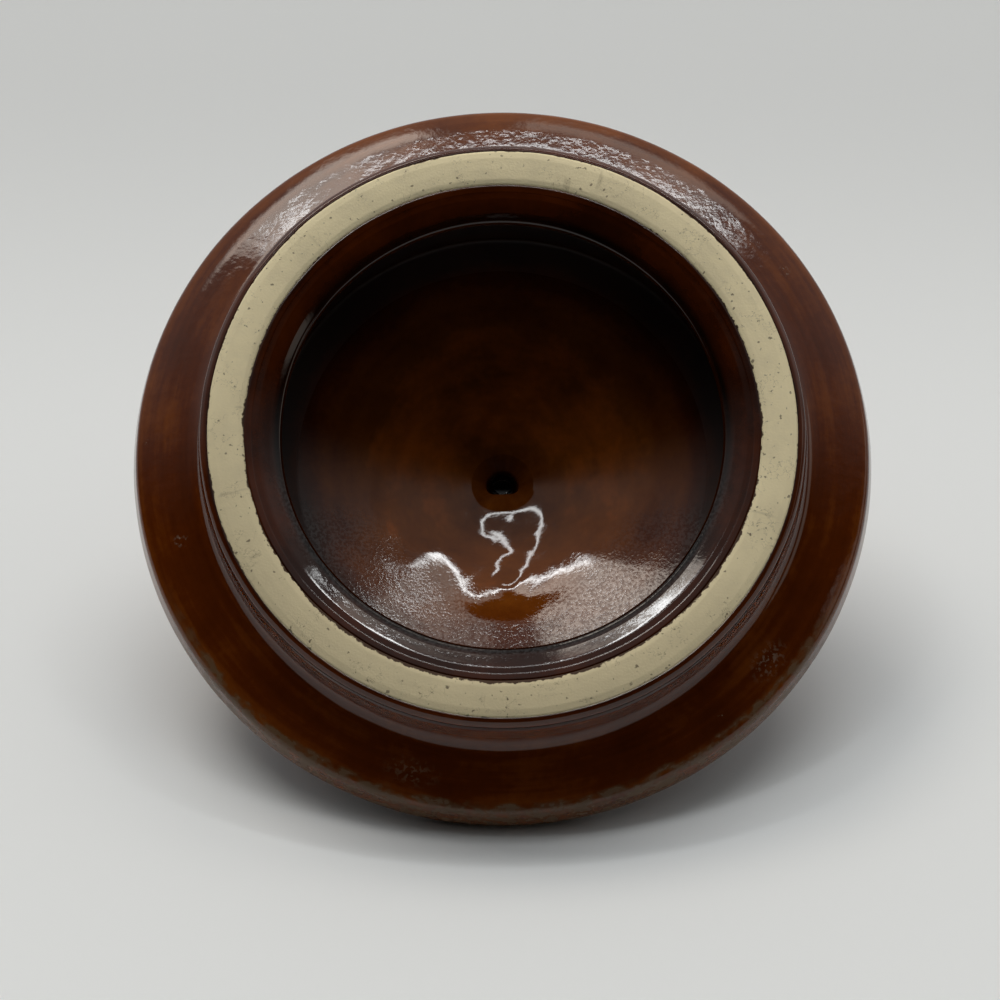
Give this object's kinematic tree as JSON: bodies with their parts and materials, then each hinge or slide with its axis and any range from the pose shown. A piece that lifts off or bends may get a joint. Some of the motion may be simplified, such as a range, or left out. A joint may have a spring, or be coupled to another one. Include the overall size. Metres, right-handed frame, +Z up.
{
  "type": "stoneware pot lid",
  "caption": "Round brown-glazed stoneware lid with a domed well, bare locating ring, overhanging flange and a waisted knob, lying upside down.",
  "frame": {"origin": "bottom centre of the lid as it lies upside down on a table, resting on its rim and on the shoulder of its knob", "axes": "+Z up from the table, +X along the widest diameter of the rim, -Y the way the open underside faces"},
  "size_m": [0.127, 0.1032, 0.0837],
  "materials": {
    "stoneware": "bare fired clay, matt, finely speckled",
    "slip": "fired slip, matt",
    "brown_glaze": "glossy translucent brown, amber where thin and near black where it pools"
  },
  "bodies": {
    "root": {"cover": "stoneware", "knob": "stoneware", "luting_slip": "slip", "well_glaze": "brown_glaze", "outer_glaze": "brown_glaze"}
  },
  "joints": []
}
